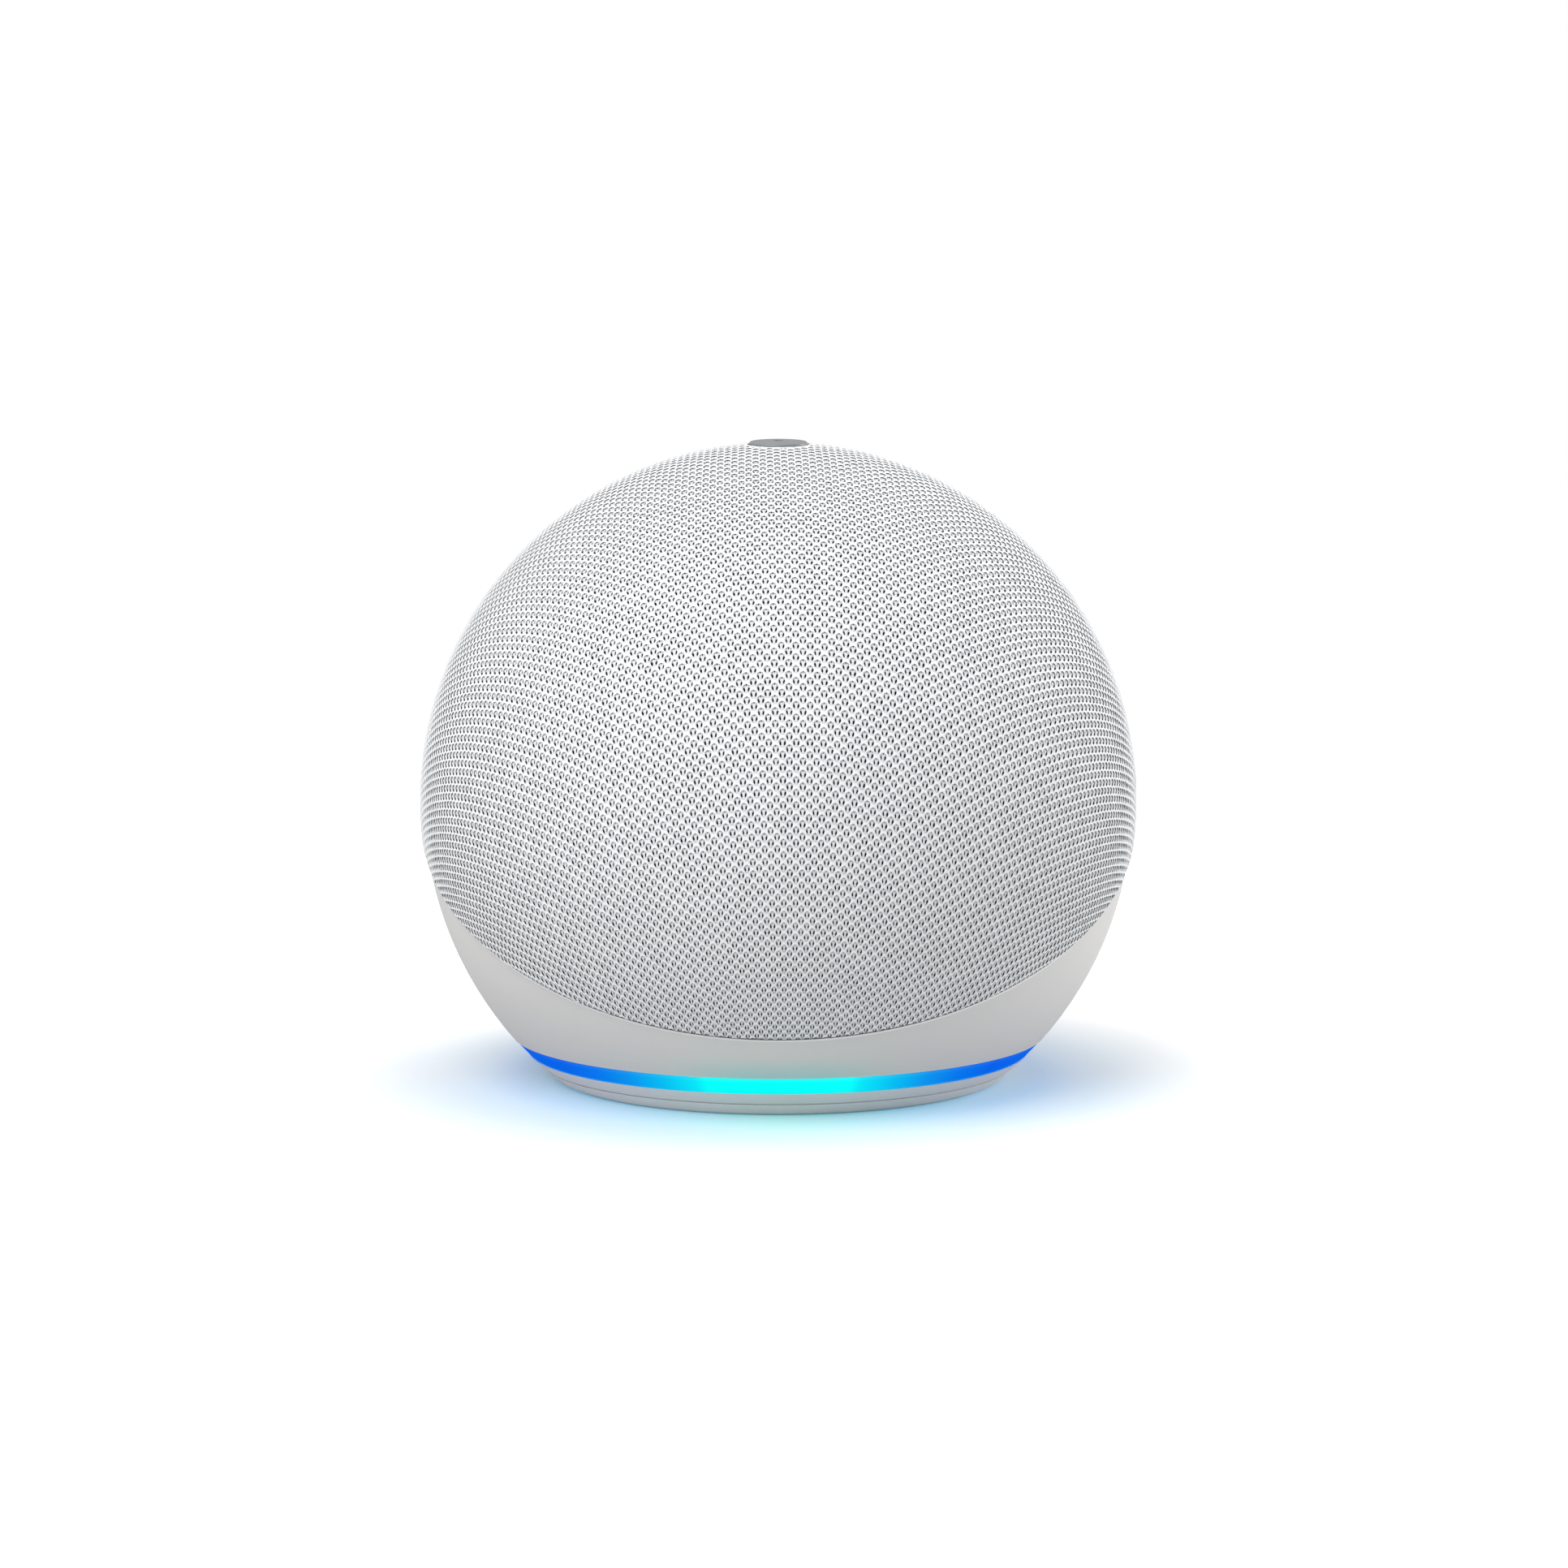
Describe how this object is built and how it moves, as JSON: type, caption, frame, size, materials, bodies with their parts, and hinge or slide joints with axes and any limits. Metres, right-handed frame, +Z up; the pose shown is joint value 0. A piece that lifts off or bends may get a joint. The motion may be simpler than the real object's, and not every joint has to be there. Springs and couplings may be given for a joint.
{
  "type": "smart speaker",
  "caption": "Ball-shaped voice speaker with a knitted grille cover, light ring, round rubber foot, top push buttons and rear power and audio jacks.",
  "frame": {"origin": "on the floor under the middle of the ball", "axes": "+Z up, front of the ball (low side of the fabric's edge) facing -Y, jacks at the back facing +Y, +X to the right seen from the front"},
  "size_m": [0.1, 0.0994, 0.0891],
  "materials": {
    "fabric_knit": "soft knit",
    "grille_plastic": "moulded",
    "shell_plastic": "fine satin",
    "ring_diffuser": "translucent, lit",
    "base_plastic": "fine satin",
    "foot_rubber": "matt",
    "button_plastic": "satin",
    "plunger_plastic": "moulded",
    "board_laminate": "solder mask",
    "light_board_laminate": "white solder mask",
    "led_package": "lens",
    "connector_plastic": "moulded",
    "chip_epoxy": "moulded",
    "thermal_silicone": "soft",
    "sink_aluminium": "extruded",
    "shield_tinplate": "pressed",
    "pin_brass": "plated",
    "box_plastic": "moulded",
    "soft_rubber": "matt",
    "basket_steel": "black coat",
    "spider_cloth": "treated cloth",
    "cone_paper": "pressed paper",
    "former_foil": "foil",
    "coil_copper": "enamelled wire",
    "magnet_ferrite": "ground",
    "plate_steel": "zinc plated",
    "lead_insulation": "smooth",
    "switch_body": "moulded",
    "ribbon_film": "film",
    "screw_steel": "plated"
  },
  "bodies": {
    "housing": {"fabric_cover": "fabric_knit", "grille_dome": "grille_plastic", "lower_bowl": "shell_plastic", "light_ring": "ring_diffuser", "base_cover": "base_plastic", "foot_ring": "foot_rubber", "light_board": "light_board_laminate", "light_leds": "led_package", "light_board_header": "connector_plastic", "main_board": "board_laminate", "processor_chip": "chip_epoxy", "thermal_pad": "thermal_silicone", "heat_sink": "sink_aluminium", "shield_can": "shield_tinplate", "lead_socket": "connector_plastic", "audio_jack": "connector_plastic", "power_jack": "connector_plastic", "power_jack_pin": "pin_brass", "box_front": "box_plastic", "box_rear": "box_plastic", "isolation_washers": "soft_rubber", "driver_basket": "basket_steel", "driver_gasket": "soft_rubber", "driver_surround": "soft_rubber", "driver_spider": "spider_cloth", "driver_top_plate": "plate_steel", "driver_magnet": "magnet_ferrite", "driver_yoke": "plate_steel", "driver_terminals": "connector_plastic", "speaker_leads": "lead_insulation", "lead_grommet": "soft_rubber", "button_board": "board_laminate", "tact_switches": "switch_body", "microphones": "shield_tinplate", "ribbon_plug": "connector_plastic", "ribbon_socket": "connector_plastic", "ribbon_cable": "ribbon_film", "base_screws": "screw_steel", "main_board_screws": "screw_steel", "post_screws": "screw_steel", "driver_screws": "screw_steel", "button_board_screws": "screw_steel"},
    "cone": {"driver_cone": "cone_paper", "driver_dust_cap": "cone_paper", "voice_coil_former": "former_foil", "voice_coil_winding": "coil_copper"},
    "volume_up": {"volume_up_button": "button_plastic", "volume_up_plunger": "plunger_plastic"},
    "mic_off": {"mic_off_button": "button_plastic", "mic_off_plunger": "plunger_plastic"},
    "volume_down": {"volume_down_button": "button_plastic", "volume_down_plunger": "plunger_plastic"},
    "action": {"action_button": "button_plastic", "action_plunger": "plunger_plastic"}
  },
  "joints": [
    {"name": "cone_travel", "type": "slide", "parent": "housing", "child": "cone", "axis": [0, -0.9659, 0.2588], "range_m": [-0.0015, 0.0015], "stiffness_N_per_m": 1500, "deforming": ["driver_surround", "driver_spider"]},
    {"name": "volume_up_press", "type": "slide", "parent": "housing", "child": "volume_up", "axis": [0, -0.1115, -0.9938], "range_m": [0, 0.0003], "stiffness_N_per_m": 5000, "springref_m": -0.0001},
    {"name": "mic_off_press", "type": "slide", "parent": "housing", "child": "mic_off", "axis": [0, -0.1115, -0.9938], "range_m": [0, 0.0003], "stiffness_N_per_m": 5000, "springref_m": -0.0001},
    {"name": "volume_down_press", "type": "slide", "parent": "housing", "child": "volume_down", "axis": [0, -0.1115, -0.9938], "range_m": [0, 0.0003], "stiffness_N_per_m": 5000, "springref_m": -0.0001},
    {"name": "action_press", "type": "slide", "parent": "housing", "child": "action", "axis": [0, -0.1115, -0.9938], "range_m": [0, 0.0003], "stiffness_N_per_m": 5000, "springref_m": -0.0001}
  ]
}
